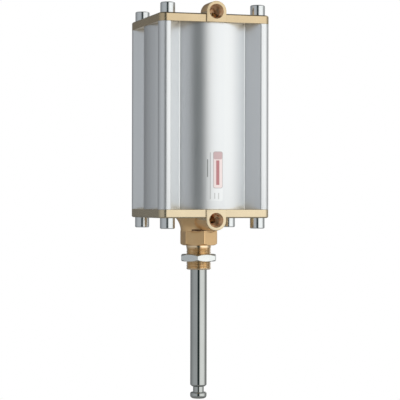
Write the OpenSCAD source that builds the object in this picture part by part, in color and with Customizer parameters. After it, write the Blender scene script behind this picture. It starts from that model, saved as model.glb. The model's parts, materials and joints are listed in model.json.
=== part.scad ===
// Double-acting pneumatic cylinder with an extruded profile barrel, two hot-pressed
// brass covers and a threaded nose that the rod leaves through.
// The axis is Z. Z = 0 is the shoulder of the lower cover's hexagon, which seats on a panel.
// The rod points down and is drawn fully extended.

/* [Barrel] */
// Bore of the barrel
bore_d = 100; // [94:1:101]
// Wall between the bore and the rounded belly of each side
wall_t = 3.5; // [3.25:0.25:4]
// Width of the barrel across its flat corner strips
barrel_w = 108.4; // [108.2:0.2:113]
// Radius of the barrel's and the cover plates' corners
barrel_corner_r = 7; // [5:0.5:9]
// Distance from a side of the barrel to the cover screws and the V grooves' upper edges
screw_inset = 9.7; // [8.7:0.1:10.2]
// Angle from a side's middle to the root of its V groove
groove_angle = 37; // [35:0.5:38.5]
// Fillet in the root of the V groove
groove_fillet = 1.5; // [1:0.25:2]
// Lead-in chamfer at each end of the bore
bore_chamfer = 1; // [0.5:0.25:1.25]

/* [Stroke] */
// Travel of the piston
stroke = 100; // [50:5:200]
// Length of the two-part piston
piston_len = 48; // [46:1:60]
// How far each rubber bumper stands out of its cover
bumper_proud = 5.8; // [4:0.2:8]
// Axial gap left between the piston and a bumper at the end of travel
stop_gap = 0.2; // [0.1:0.1:0.4]

/* [Covers] */
// Thickness of the cover plates
plate_t = 8; // [7:0.5:12]
// Height of the spigot that centres a cover in the bore
spigot_h = 8; // [7:0.5:12]
// Distance from the plate's outer face to the port axis
port_rise = 2; // [1:0.25:3]
// How far the port bosses stand out in front of the plates
boss_proud = 1.5; // [0.5:0.1:6]
// Diameter of the port bosses
boss_d = 19.4; // [18:0.2:22]
// Length of the upper port boss behind the plate's front edge
upper_boss_len = 18.5; // [16:0.5:24]
// Wall diameter of the G1/4 port holes
port_d = 13.16; // [11:0.1:13.5]
// Depth of the port holes
port_depth = 11.5; // [10:0.5:14]
// Countersink round the mouth of the ports
port_chamfer = 0.4; // [0.2:0.1:1]
// Diameter of the air passages
passage_d = 6; // [4:0.5:6]

/* [Neck and nose] */
// Diameter of the neck where it meets the hexagon
neck_d = 35; // [34:0.5:36.5]
// Diameter of the neck where it flares into the plate
flare_d = 45.5; // [42:0.5:48]
// Height of the neck
neck_h = 12.6; // [12:0.1:16]
// How far the neck reaches down over the hexagon
neck_sink = 0.4; // [0.2:0.1:1]
// Height of the recess under the port duct, above the hexagon
recess_h = 1.4; // [1.2:0.1:2]
// Width of the recess under the port duct
recess_w = 23; // [20:1:26]
// Width across the flats of the hexagon
hex_af = 32; // [30:1:34]
// Height of the hexagon
hex_h = 14.2; // [12:0.1:20]
// Diameter of the M24 x 1.5 nose
nose_d = 24; // [22:0.5:25]
// Length of the nose
nose_len = 23.4; // [20:0.2:30]
// Chamfer at the end of the nose
nose_chamfer = 1; // [0.5:0.1:1.5]

/* [Rod] */
// Diameter of the piston rod
rod_d = 16; // [14:0.5:16.5]
// Full-diameter rod left outside the nose when the piston is fully retracted
rod_stay = 13; // [5:0.5:30]
// Diameter of the groove behind the knob
rod_neck_d = 10.5; // [8:0.5:12]
// Length of the groove behind the knob
rod_neck_len = 5.7; // [4:0.1:10]
// Length of the knob
knob_len = 6; // [5.6:0.1:12]
// Rounding of the knob's lower edge
knob_round = 3; // [2:0.5:3.5]
// Chamfer of the knob's upper edge
knob_edge = 0.8; // [0.5:0.1:1.4]
// Chamfer of the shoulder above the groove
shoulder_edge = 1.6; // [0.8:0.2:2]
// Thread diameter of the rod's piston end
rod_thread_d = 14; // [12:0.5:14]

/* [Rod guide] */
// Diameter of the pocket that holds the rod seals and the guide bush
pocket_d = 25; // [23:0.5:26]
// Floor between the pocket and the panel shoulder
pocket_floor = 3; // [2:0.5:4]
// Height of the wiper ring
wiper_h = 4; // [3:0.5:5]
// Height of the guide bush
bush_h = 15; // [12:0.5:18]
// Height of the rod seal
rod_seal_h = 6; // [5:0.5:8]
// Thickness of the washer above the rod seal
seal_washer_t = 1; // [0.8:0.1:1.5]
// Thickness of the retaining ring
circlip_t = 1.2; // [1:0.1:1.6]

/* [Lock nut] */
// Width across the flats of the lock nut
lock_nut_af = 33; // [30:1:36]
// Thickness of the lock nut
lock_nut_h = 7; // [5:0.2:9]
// Gap between the panel shoulder and the lock nut
panel_gap = 8.5; // [2:0.5:10]
// Turn of the lock nut on its thread
lock_nut_turn = -20; // [-30:1:30]

/* [Screws] */
// Thread diameter of the cover screws
screw_d = 8; // [6:0.5:8]
// Head diameter of the cover screws
screw_head_d = 14; // [13:0.5:15]
// Head height of the cover screws
screw_head_h = 10; // [8:0.5:12]
// Width across the flats of the hexagon socket
screw_socket_af = 6; // [5:0.5:7]
// Depth of the hexagon socket
screw_socket_depth = 5; // [3:0.5:6]
// How far the screws reach into the barrel
screw_grip = 22; // [14:1:30]
// Radial gap round a screw in its cover
screw_gap = 0.5; // [0.3:0.1:0.8]

/* [Piston] */
// Width of the guide ring
guide_w = 20; // [14:1:20]
// Thickness of the guide ring
guide_t = 2.8; // [2:0.2:3.6]
// Distance from the piston's end face to its lip seal groove
lip_land = 3; // [2:0.5:4]
// Width of the lip seal grooves
lip_groove_w = 7; // [6:0.5:8]
// Depth of the lip seal grooves
lip_groove_depth = 6; // [5:0.5:7]
// Radial gap between the piston's lands and the bore
piston_gap = 0.4; // [0.3:0.1:0.6]
// Inner diameter of the magnet
magnet_inner_d = 72; // [66:1:76]
// Radial width of the magnet
magnet_w = 6; // [4:0.5:7]
// Height of the magnet
magnet_h = 5; // [4:0.5:8]
// Depth of the rod shoulder's seat in the piston
shoulder_depth = 4; // [3:0.5:6]
// Width across the flats of the piston nut
piston_nut_af = 21; // [19:1:22]
// Height of the piston nut
piston_nut_h = 8; // [6:0.5:9]
// Thickness of the piston washer
piston_washer_t = 2; // [1.5:0.5:2.5]
// Outer diameter of the piston washer
piston_washer_d = 25; // [24:0.5:26]

/* [Seals] */
// Thickness of the O-ring section in the covers
cover_ring_t = 2.4; // [2:0.1:2.8]
// Thickness of the O-ring section in the piston's bore
rod_ring_t = 1.6; // [1.2:0.1:2]
// Inner diameter of the bumpers
bumper_inner_d = 28; // [26:1:32]
// Radial width of the bumpers
bumper_w = 10; // [8:0.5:10]
// Depth of a bumper's seat in its cover
bumper_seat = 3; // [2:0.5:4]
// Radial gap of running and sliding fits
fit_gap = 0.05; // [0.03:0.01:0.08]
// Axial play of a ring in its groove
ring_play = 0.1; // [0.05:0.05:0.2]

/* [Hidden] */

$fn = 96;
cut = 1;  // how far a cutter runs past the face that it opens

brass_colour = "burlywood";
barrel_colour = "lightgray";
steel_colour = "silver";
seal_colour = "dimgray";

// Radii
bore_r = bore_d / 2;
belly_r = bore_r + wall_t;
corner_centre = barrel_w / 2 - barrel_corner_r;
screw_pitch = barrel_w - 2 * screw_inset;
spigot_r = bore_r - fit_gap;
rod_r = rod_d / 2;
rod_hole_r = rod_r + fit_gap;
rod_thread_r = rod_thread_d / 2;
pocket_r = pocket_d / 2;
nose_r = nose_d / 2;
boss_r = boss_d / 2;
passage_r = passage_d / 2;
screw_hole_r = screw_d / 2 + fit_gap;
cover_hole_r = screw_d / 2 + screw_gap;
bumper_ir = bumper_inner_d / 2;
bumper_or = bumper_ir + bumper_w;
piston_r = bore_r - piston_gap;
seal_or = bore_r - fit_gap;

// Heights of the housing, from the panel shoulder up
lower_plate_z = hex_h + neck_h;
barrel_z = lower_plate_z + plate_t;
barrel_len = stroke + piston_len + 2 * (bumper_proud + stop_gap + spigot_h);
upper_plate_z = barrel_z + barrel_len;
lower_stop_z = barrel_z + spigot_h;
upper_stop_z = upper_plate_z - spigot_h;
lower_port_z = lower_plate_z - port_rise;
upper_port_z = upper_plate_z + plate_t + port_rise;

// The port bosses and their air passages, along -Y from the axis
plate_front_y = barrel_w / 2;
boss_front_y = plate_front_y + boss_proud;
upper_boss_back_y = plate_front_y - upper_boss_len;
lower_boss_back_y = neck_d / 4;  // inside the neck, which it runs into
recess_y = hex_af / 2 - 2.5;     // the wall behind the recess under the port duct
taper_sink = 0.6;                // how far the neck's taper ends inside the hexagon's flats
port_floor_y = boss_front_y - port_depth;
upper_passage_y = upper_boss_back_y + passage_r + 2;
lower_passage_y = bumper_or + passage_r + 1;

// Cover O-rings, squeezed into grooves in the spigots
cover_ring_r = cover_ring_t / 2;
cover_groove_depth = cover_ring_t;
cover_groove_w = cover_ring_t + 2 * ring_play;
cover_groove_off = (spigot_h - cover_groove_w) / 2;

// The rod guide's stack in the lower cover's pocket
wiper_z = pocket_floor;
bush_z = wiper_z + wiper_h;
rod_seal_z = bush_z + bush_h + ring_play;
seal_washer_z = rod_seal_z + rod_seal_h + ring_play;
circlip_z = seal_washer_z + seal_washer_t;
circlip_bite = 0.8;
circlip_w = 2.6;
pocket_fit_r = pocket_r - fit_gap;

// The piston, from its lower face
piston_z = lower_stop_z + bumper_proud + stop_gap;
half_len = piston_len / 2;
parting_z = piston_z + half_len;
guide_groove_w = guide_w + 2 * ring_play;
guide_bottom_r = seal_or - guide_t - fit_gap;
lip_bottom_r = piston_r - lip_groove_depth;
magnet_ir = magnet_inner_d / 2;
magnet_or = magnet_ir + magnet_w;
nut_room = 0.5;      // radial gap round the piston washer
nut_cover = 3;       // depth of the pocket above the piston nut
nut_pocket_r = piston_washer_d / 2 + nut_room;
nut_pocket_depth = piston_washer_t + piston_nut_h + nut_cover;
ring_groove_z = piston_z + half_len / 2;
rod_ring_r = rod_ring_t / 2;
relief_rib = 4;      // metal left inside and outside the weight relief
relief_ir = bumper_or + relief_rib;
relief_or = lip_bottom_r - relief_rib;
relief_depth = lip_land + lip_groove_w - 1;

// The rod, from its lower end up
rod_out = stroke + rod_stay;
nose_end_z = -nose_len;
rod_neck_z = nose_end_z - rod_out;
knob_z = rod_neck_z - rod_neck_len;
rod_tip_z = knob_z - knob_len;
rod_shoulder_z = piston_z + shoulder_depth;
nut_seat_z = piston_z + piston_len - nut_pocket_depth;
piston_nut_z = nut_seat_z + piston_washer_t;
rod_top_z = piston_nut_z + piston_nut_h + 1.5;
rod_chamfer = 0.8;

// Corner i of a square of screws, as a rotation of the first one
corner_turns = [0, 90, 180, 270];

// Centre of a fillet that touches the belly circle and the straight wall of a groove.
// The wall starts level with the screw and runs to the root on the belly.
wall_top = [screw_pitch / 2, barrel_w / 2];
wall_root = belly_r * [sin(groove_angle), cos(groove_angle)];
wall_dir = (wall_root - wall_top) / norm(wall_root - wall_top);
wall_out = [wall_dir[1], -wall_dir[0]];  // points out of the metal, into the groove
fillet_base = wall_top + wall_out * groove_fillet;
fillet_b = fillet_base * wall_dir;
fillet_c = fillet_base * fillet_base - pow(belly_r + groove_fillet, 2);
fillet_run = -fillet_b - sqrt(fillet_b * fillet_b - fillet_c);
fillet_centre = fillet_base + wall_dir * fillet_run;
fillet_on_wall = wall_top + wall_dir * fillet_run;
fillet_on_belly = fillet_centre * belly_r / (belly_r + groove_fillet);

// ---- Shapes that repeat ----

module ring(outer_r, inner_r, height) {
    difference() {
        cylinder(r = outer_r, h = height);
        translate([0, 0, -cut]) cylinder(r = inner_r, h = height + 2 * cut);
    }
}

// A ring-shaped cut from z = 0 up, for grooves and seats
module ring_cut(outer_r, inner_r, height) {
    ring(outer_r, inner_r, height);
}

module at_screws() {
    for (turn = corner_turns)
        rotate([0, 0, turn]) translate([screw_pitch / 2, screw_pitch / 2, 0]) children();
}

// A hexagonal prism whose corners are turned down at both ends
module chamfered_hex(across_flats, height, turn_lower = true, turn_upper = true) {
    corner = across_flats / sqrt(3);
    face_r = across_flats * 0.485;
    drop = (corner - face_r) * tan(30);
    intersection() {
        cylinder(r = corner, h = height, $fn = 6);
        rotate_extrude()
            polygon([[0, 0], [turn_lower ? face_r : corner + 1, 0],
                     [corner + 1, turn_lower ? drop + tan(30) : 0],
                     [corner + 1, turn_upper ? height - drop - tan(30) : height],
                     [turn_upper ? face_r : corner + 1, height], [0, height]]);
    }
}

// Round-cornered plate outline of the covers
module plate_outline() {
    square([barrel_w, 2 * corner_centre], center = true);
    square([2 * corner_centre, barrel_w], center = true);
    for (turn = corner_turns)
        rotate(turn) translate([corner_centre, corner_centre]) circle(r = barrel_corner_r);
}

// Torus for an O-ring at z = 0
module o_ring(centre_r, section_r) {
    rotate_extrude() translate([centre_r, 0]) circle(r = section_r, $fn = 48);
}

// U-cup whose lips open towards +Z, between two radii
module lip_seal(outer_r, inner_r, height) {
    width = outer_r - inner_r;
    rotate_extrude()
        polygon([[inner_r + width * 0.12, 0], [outer_r - width * 0.12, 0],
                 [outer_r, height * 0.8], [outer_r - width * 0.15, height],
                 [outer_r - width * 0.36, height * 0.5], [inner_r + width * 0.36, height * 0.5],
                 [inner_r + width * 0.15, height], [inner_r, height * 0.8]]);
}

// ---- Barrel ----

// One corner of the extrusion: the lug that carries a screw, as far as its two groove roots
module corner_lug() {
    linear_extrude(barrel_len)
        polygon([[0, 0], wall_root, wall_top, [corner_centre, barrel_w / 2],
                 [barrel_w / 2, corner_centre], [wall_top[1], wall_top[0]],
                 [wall_root[1], wall_root[0]]]);
    translate([corner_centre, corner_centre, 0]) cylinder(r = barrel_corner_r, h = barrel_len);
}

// Metal left in a groove's root by its fillet
module root_fillet() {
    difference() {
        linear_extrude(barrel_len)
            polygon([wall_root * 0.98, fillet_on_wall, fillet_centre, fillet_on_belly]);
        translate([fillet_centre[0], fillet_centre[1], -cut])
            cylinder(r = groove_fillet, h = barrel_len + 2 * cut);
    }
}

module barrel_extrusion() {
    cylinder(r = belly_r, h = barrel_len);
    for (turn = corner_turns) {
        rotate([0, 0, turn]) {
            corner_lug();
            root_fillet();
            mirror([1, -1, 0]) root_fillet();
        }
    }
}

module barrel() {
    color(barrel_colour) translate([0, 0, barrel_z]) difference() {
        barrel_extrusion();
        translate([0, 0, -cut]) cylinder(r = bore_r, h = barrel_len + 2 * cut);
        at_screws() translate([0, 0, -cut]) cylinder(r = screw_hole_r, h = barrel_len + 2 * cut);
        for (end = [0, 1])
            translate([0, 0, end * barrel_len]) mirror([0, 0, end])
                translate([0, 0, -bore_chamfer])
                    cylinder(r1 = bore_r + 2 * bore_chamfer, r2 = bore_r, h = 2 * bore_chamfer);
    }
}

// ---- Covers ----

// Plate and spigot, with the plate's inner face at z = 0 and the spigot towards +Z
module cover_plate() {
    translate([0, 0, -plate_t]) linear_extrude(plate_t) plate_outline();
    cylinder(r = spigot_r, h = spigot_h);
}

// What every cover has cut into it: screw holes, the O-ring groove and the bumper's seat
module cover_cuts() {
    at_screws() translate([0, 0, -plate_t - cut]) cylinder(r = cover_hole_r, h = plate_t + 2 * cut);
    translate([0, 0, cover_groove_off])
        ring_cut(spigot_r + cut, spigot_r - cover_groove_depth, cover_groove_w);
    translate([0, 0, spigot_h - bumper_seat])
        ring_cut(bumper_or + fit_gap, bumper_ir - fit_gap, bumper_seat + cut);
}

// Port boss along -Y on a cover whose outer face lies at z = -plate_t
module port_boss(back_y) {
    translate([0, -back_y, -plate_t - port_rise]) rotate([90, 0, 0])
        linear_extrude(boss_front_y - back_y) {
            circle(r = boss_r);
            translate([-boss_r, 0]) square([2 * boss_r, plate_t + port_rise]);
        }
}

// Threaded port, the bore behind it and the drilling into the cylinder
module port_cuts(passage_y) {
    port_r = port_d / 2;
    translate([0, -boss_front_y, -plate_t - port_rise]) rotate([-90, 0, 0]) {
        translate([0, 0, -cut]) cylinder(r = port_r, h = port_depth + cut);
        translate([0, 0, -cut])
            cylinder(r1 = port_r + port_chamfer + cut, r2 = port_r, h = port_chamfer + cut);
        cylinder(r = passage_r, h = boss_front_y - passage_y);
    }
    translate([0, -passage_y, -plate_t - port_rise])
        cylinder(r = passage_r, h = plate_t + port_rise + spigot_h + cut);
}

module upper_cover() {
    color(brass_colour) translate([0, 0, upper_plate_z]) mirror([0, 0, 1]) difference() {
        union() {
            cover_plate();
            port_boss(upper_boss_back_y);
        }
        cover_cuts();
        port_cuts(upper_passage_y);
    }
}

// Trumpet-shaped neck between the hexagon and the plate. It starts a little below the
// hexagon's top face and tapers into the hexagon, so that the two run into each other.
// Under the port duct it is recessed, which leaves a slot above the hexagon's top face.
module neck() {
    height = neck_h + neck_sink;
    flare = (flare_d - neck_d) / 2;
    sweep_r = (flare * flare + height * height) / (2 * flare);
    taper = neck_d / 2 - hex_af / 2 + taper_sink;
    difference() {
        translate([0, 0, hex_h - neck_sink]) rotate_extrude() difference() {
            translate([0, -taper]) polygon([[0, 0], [neck_d / 2 - taper, 0], [neck_d / 2, taper],
                                            [flare_d / 2, taper], [flare_d / 2, height + taper],
                                            [0, height + taper]]);
            translate([neck_d / 2 + sweep_r, 0]) circle(r = sweep_r);
        }
        translate([-recess_w / 2, -flare_d, hex_h])
            cube([recess_w, flare_d - recess_y, recess_h]);
    }
}

module nose() {
    rotate_extrude()
        polygon([[0, 0], [nose_r, 0], [nose_r, nose_end_z + nose_chamfer],
                 [nose_r - nose_chamfer, nose_end_z], [0, nose_end_z]]);
}

module lower_cover() {
    color(brass_colour) difference() {
        union() {
            translate([0, 0, barrel_z]) {
                cover_plate();
                port_boss(lower_boss_back_y);
            }
            neck();
            rotate([0, 0, 30]) chamfered_hex(hex_af, hex_h, turn_upper = false);
            nose();
        }
        translate([0, 0, barrel_z]) {
            cover_cuts();
            port_cuts(lower_passage_y);
        }
        translate([0, 0, pocket_floor]) cylinder(r = pocket_r, h = lower_stop_z);
        translate([0, 0, nose_end_z - cut]) cylinder(r = rod_r + 0.3, h = nose_len + lower_stop_z);
        translate([0, 0, circlip_z])
            ring_cut(pocket_r + circlip_bite, rod_r, circlip_t + ring_play);
    }
}

// ---- Cover screws, seals and bumpers ----

// Cap screw with its head on z = 0 and its thread towards -Z
module cap_screw() {
    head_r = screw_head_d / 2;
    edge = 0.6;
    shank = plate_t + screw_grip;
    difference() {
        rotate_extrude()
            polygon([[0, -shank], [screw_d / 2 - 1, -shank], [screw_d / 2, 1 - shank],
                     [screw_d / 2, 0], [head_r, 0], [head_r, screw_head_h - edge],
                     [head_r - edge, screw_head_h], [0, screw_head_h]]);
        translate([0, 0, screw_head_h - screw_socket_depth])
            cylinder(d = screw_socket_af / cos(30), h = screw_socket_depth + cut, $fn = 6);
    }
}

module upper_cover_screws() {
    color(steel_colour) at_screws() translate([0, 0, upper_plate_z + plate_t]) cap_screw();
}

module lower_cover_screws() {
    color(steel_colour) at_screws()
        translate([0, 0, lower_plate_z]) mirror([0, 0, 1]) cap_screw();
}

module cover_o_ring() {
    translate([0, 0, cover_groove_off + cover_groove_w / 2])
        o_ring(spigot_r - cover_ring_r, cover_ring_r - fit_gap / 2);
}

module upper_cover_o_ring() {
    color(seal_colour) translate([0, 0, upper_plate_z]) mirror([0, 0, 1]) cover_o_ring();
}

module lower_cover_o_ring() {
    color(seal_colour) translate([0, 0, barrel_z]) cover_o_ring();
}

// Rubber ring with rounded-off edges, its seat at z = 0
module bumper() {
    height = bumper_seat + bumper_proud;
    edge = 1;
    rotate_extrude()
        polygon([[bumper_ir, 0], [bumper_or, 0], [bumper_or, height - edge],
                 [bumper_or - edge, height], [bumper_ir + edge, height],
                 [bumper_ir, height - edge]]);
}

module upper_bumper() {
    color(seal_colour) translate([0, 0, upper_stop_z + bumper_seat]) mirror([0, 0, 1]) bumper();
}

module lower_bumper() {
    color(seal_colour) translate([0, 0, lower_stop_z - bumper_seat]) bumper();
}

// ---- Rod guide ----

// Wiper whose lip points down at the rod
module rod_wiper() {
    lip = 1.2;
    color(seal_colour) translate([0, 0, wiper_z]) rotate_extrude()
        polygon([[rod_hole_r, 0], [rod_hole_r + lip, 0], [rod_hole_r + lip * 1.5, wiper_h * 0.4],
                 [pocket_fit_r, wiper_h * 0.4], [pocket_fit_r, wiper_h],
                 [rod_hole_r + lip, wiper_h], [rod_hole_r + lip, wiper_h * 0.6]]);
}

module rod_bush() {
    color("peru") translate([0, 0, bush_z]) ring(pocket_fit_r, rod_hole_r, bush_h);
}

module rod_seal() {
    color(seal_colour) translate([0, 0, rod_seal_z])
        lip_seal(pocket_fit_r, rod_hole_r, rod_seal_h);
}

module seal_washer() {
    color(steel_colour) translate([0, 0, seal_washer_z])
        ring(pocket_fit_r, rod_hole_r + 0.5, seal_washer_t);
}

// Internal retaining ring, open at one side, with a pliers hole in each end
module seal_circlip() {
    outer_r = pocket_r + circlip_bite - fit_gap;
    inner_r = pocket_r - circlip_w + circlip_bite;
    mid_r = (outer_r + inner_r) / 2;
    opening = 5;
    color(steel_colour) translate([0, 0, circlip_z]) difference() {
        ring(outer_r, inner_r, circlip_t);
        translate([0, -opening / 2, -cut]) cube([outer_r + cut, opening, circlip_t + 2 * cut]);
        for (side = [-1, 1])
            rotate([0, 0, side * 20]) translate([mid_r, 0, -cut])
                cylinder(d = 1.2, h = circlip_t + 2 * cut, $fn = 24);
    }
}

// ---- Lock nut ----

module lock_nut() {
    bore = nose_r + fit_gap;
    countersink = 0.6;
    color(steel_colour) translate([0, 0, -panel_gap - lock_nut_h]) difference() {
        rotate([0, 0, 30 + lock_nut_turn]) chamfered_hex(lock_nut_af, lock_nut_h);
        translate([0, 0, -cut]) cylinder(r = bore, h = lock_nut_h + 2 * cut);
        for (end = [0, 1])
            translate([0, 0, end * lock_nut_h]) mirror([0, 0, end])
                translate([0, 0, -countersink])
                    cylinder(r1 = bore + 2 * countersink, r2 = bore, h = 2 * countersink);
    }
}

// ---- Rod and piston ----

module piston_rod() {
    color(steel_colour) rotate_extrude() {
        polygon([[0, rod_tip_z + knob_round], [rod_r, rod_tip_z + knob_round],
                 [rod_r, knob_z - knob_edge], [rod_r - knob_edge, knob_z],
                 [rod_neck_d / 2, knob_z], [rod_neck_d / 2, rod_neck_z],
                 [rod_r - shoulder_edge, rod_neck_z], [rod_r, rod_neck_z + shoulder_edge],
                 [rod_r, rod_shoulder_z], [rod_thread_r, rod_shoulder_z],
                 [rod_thread_r, rod_top_z - rod_chamfer], [rod_thread_r - rod_chamfer, rod_top_z],
                 [0, rod_top_z]]);
        square_r = rod_r - knob_round;
        translate([0, rod_tip_z]) square([square_r, knob_round]);
        intersection() {
            translate([square_r, rod_tip_z + knob_round]) circle(r = knob_round);
            translate([square_r, rod_tip_z]) square(knob_round);
        }
    }
}

// One half of the piston, its end face at z = 0 and the parting face at z = half_len.
// Both halves share the seal groove, half the guide groove and half the magnet's recess.
module piston_half() {
    difference() {
        cylinder(r = piston_r, h = half_len);
        translate([0, 0, -cut]) cylinder(r = rod_thread_r + fit_gap, h = half_len + 2 * cut);
        translate([0, 0, lip_land]) ring_cut(piston_r + cut, lip_bottom_r, lip_groove_w);
        translate([0, 0, half_len - guide_groove_w / 2])
            ring_cut(piston_r + cut, guide_bottom_r, guide_groove_w / 2 + cut);
        translate([0, 0, half_len - magnet_h / 2 - ring_play])
            ring_cut(magnet_or + fit_gap, magnet_ir - fit_gap, magnet_h / 2 + ring_play + cut);
        translate([0, 0, -cut]) ring_cut(relief_or, relief_ir, relief_depth + cut);
    }
}

module lower_piston() {
    color(barrel_colour) translate([0, 0, piston_z]) difference() {
        piston_half();
        translate([0, 0, -cut]) cylinder(r = rod_r + fit_gap, h = shoulder_depth + cut);
        translate([0, 0, half_len / 2 - rod_ring_r - ring_play])
            cylinder(r = rod_thread_r + rod_ring_t, h = rod_ring_t + 2 * ring_play);
    }
}

module upper_piston() {
    color(barrel_colour) translate([0, 0, piston_z + piston_len]) mirror([0, 0, 1]) difference() {
        piston_half();
        translate([0, 0, -cut]) cylinder(r = nut_pocket_r, h = nut_pocket_depth + cut);
    }
}

module piston_magnet() {
    color("darkslategray") translate([0, 0, parting_z - magnet_h / 2])
        ring(magnet_or, magnet_ir, magnet_h);
}

module piston_o_ring() {
    color(seal_colour) translate([0, 0, ring_groove_z])
        o_ring(rod_thread_r + rod_ring_r, rod_ring_r - fit_gap / 2);
}

module piston_washer() {
    color(steel_colour) translate([0, 0, nut_seat_z])
        ring(piston_washer_d / 2, rod_thread_r + fit_gap, piston_washer_t);
}

module piston_nut() {
    color(steel_colour) translate([0, 0, piston_nut_z]) difference() {
        chamfered_hex(piston_nut_af, piston_nut_h);
        translate([0, 0, -cut]) cylinder(r = rod_thread_r + fit_gap, h = piston_nut_h + 2 * cut);
    }
}

module piston_guide_ring() {
    color("ivory") translate([0, 0, parting_z - guide_w / 2])
        ring(seal_or, guide_bottom_r + fit_gap, guide_w);
}

module piston_lip_seal() {
    lip_seal(seal_or, lip_bottom_r + fit_gap, lip_groove_w - 2 * ring_play);
}

module lower_piston_seal() {
    color(seal_colour) translate([0, 0, piston_z + lip_land + lip_groove_w - ring_play])
        mirror([0, 0, 1]) piston_lip_seal();
}

module upper_piston_seal() {
    color(seal_colour)
        translate([0, 0, piston_z + piston_len - lip_land - lip_groove_w + ring_play])
            piston_lip_seal();
}

barrel();
upper_cover();
lower_cover();
upper_cover_screws();
lower_cover_screws();
upper_cover_o_ring();
lower_cover_o_ring();
upper_bumper();
lower_bumper();
rod_wiper();
rod_bush();
rod_seal();
seal_washer();
seal_circlip();
lock_nut();
piston_rod();
lower_piston();
upper_piston();
piston_magnet();
piston_o_ring();
piston_washer();
piston_nut();
piston_guide_ring();
lower_piston_seal();
upper_piston_seal();
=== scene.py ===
import json
import math
from functools import partial

import bmesh
import bpy
from mathutils import Matrix, Quaternion, Vector


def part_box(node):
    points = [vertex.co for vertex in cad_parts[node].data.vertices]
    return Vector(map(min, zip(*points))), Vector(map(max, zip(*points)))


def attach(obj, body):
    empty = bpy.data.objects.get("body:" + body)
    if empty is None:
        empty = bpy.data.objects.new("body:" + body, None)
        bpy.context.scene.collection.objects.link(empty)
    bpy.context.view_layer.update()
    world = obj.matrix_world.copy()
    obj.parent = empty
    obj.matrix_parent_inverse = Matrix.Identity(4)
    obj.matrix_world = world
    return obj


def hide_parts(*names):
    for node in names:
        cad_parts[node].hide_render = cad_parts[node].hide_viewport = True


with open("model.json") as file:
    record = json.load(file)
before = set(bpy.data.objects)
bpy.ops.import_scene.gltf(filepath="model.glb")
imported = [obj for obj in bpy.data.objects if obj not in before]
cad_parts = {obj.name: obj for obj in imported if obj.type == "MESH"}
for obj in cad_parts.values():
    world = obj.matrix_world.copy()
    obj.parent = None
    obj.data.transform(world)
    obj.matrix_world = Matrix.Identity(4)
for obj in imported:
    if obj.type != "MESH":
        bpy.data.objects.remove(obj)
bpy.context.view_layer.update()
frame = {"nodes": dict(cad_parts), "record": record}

# ---- Sizes, in millimetres. A finished mesh is scaled to metres. ----

MM = 0.001


def box_of(node):
    low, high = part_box(node)
    return low / MM, high / MM


mounts = {mount["name"]: mount for mount in frame["record"]["mounts"]}
barrel_low, barrel_high = box_of("barrel")
upper_low, upper_high = box_of("upper_cover")
lower_low, lower_high = box_of("lower_cover")
upper_screws_low, upper_screws_high = box_of("upper_cover_screws")
lower_screws_low = box_of("lower_cover_screws")[0]
nut_low, nut_high = box_of("lock_nut")
rod_low, rod_high = box_of("piston_rod")

half_width = barrel_high.x
corner_radius = 7.0
barrel_bottom, barrel_top = barrel_low.z, barrel_high.z
plate_thickness = 8.0
lower_plate = barrel_bottom - plate_thickness
upper_plate = barrel_top + plate_thickness
plate_edge, plate_outer_edge = 0.3, 1.1
screw_head_radius = 7.0
tapped_hole_radius, clearance_hole_radius = 4.05, 4.5
screw_reach = upper_screws_high.x - screw_head_radius  # from the axis to a screw, along X or Y
bore_radius, bore_lead = 50.0, 1.0
belly_radius = 53.5
groove_angle = math.radians(37)
groove_fillet = 1.5
spigot_radius = bore_radius - 0.05
ring_groove_depth, ring_groove_width = 2.4, 2.6
bumper_seat_inner, bumper_seat_outer, bumper_seat_depth = 13.95, 24.05, 3.0

port_radius = mounts["upper_port"]["dims"]["r_mm"]
port_depth, port_chamfer = 11.5, 0.4
port_pitch, port_thread_depth = 25.4 / 19, 0.86
upper_port_height = mounts["upper_port"]["pos_m"][2] / MM
lower_port_height = mounts["lower_port"]["pos_m"][2] / MM
boss_front = -upper_low.y
boss_radius = upper_high.z - upper_port_height
upper_boss_back = half_width - 18.5
lower_boss_back = 8.75
passage_radius = 3.0
upper_passage_back, lower_passage_back = upper_boss_back + 5, 28.0

neck_radius, flare_radius = 17.5, 22.75
hexagon_flats, hexagon_height = 32.0, 14.2
recess_height, recess_half_width, recess_wall = 1.4, 11.5, 13.5
pocket_radius, pocket_floor = 12.5, 3.0
circlip_groove_radius, circlip_groove_low, circlip_groove_high = 13.3, 29.2, 30.5
nose_radius = mounts["nose_thread"]["dims"]["r_mm"]
nose_pitch, nose_thread_depth = 1.5, 0.92
nose_end = lower_low.z
rod_radius = mounts["rod_knob"]["dims"]["r_mm"]
rod_hole_radius = rod_radius + 0.3
rod_thread_radius = 7.0
lock_nut_flats, lock_nut_turn = 33.0, math.radians(-20)

# ---- The camera, all but level and a little to the left of the ports ----

view_turn = math.radians(-17.3)
toward_camera = Vector((math.sin(view_turn), -math.cos(view_turn), 0))
camera_right = Vector((math.cos(view_turn), math.sin(view_turn), 0))
aim = Vector((0, 0, 0.0438)) + camera_right * 0.0012
roll = math.radians(0.10)
lens = bpy.data.cameras.new("camera")
lens.lens, lens.sensor_width = 152.4, 36
camera = bpy.data.objects.new("camera", lens)
bpy.context.scene.collection.objects.link(camera)
camera.location = aim + toward_camera * 1.640
camera.rotation_mode = "QUATERNION"
camera.rotation_quaternion = ((-toward_camera).to_track_quat("-Z", "Y")
                              @ Quaternion((0, 0, 1), roll))
bpy.context.scene.camera = camera
bpy.context.scene.view_settings.view_transform = "Standard"


# ---- Making meshes ----


def placed(name, mesh):
    piece = bpy.data.objects.new(name, mesh)
    bpy.context.scene.collection.objects.link(piece)
    return piece


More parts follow.
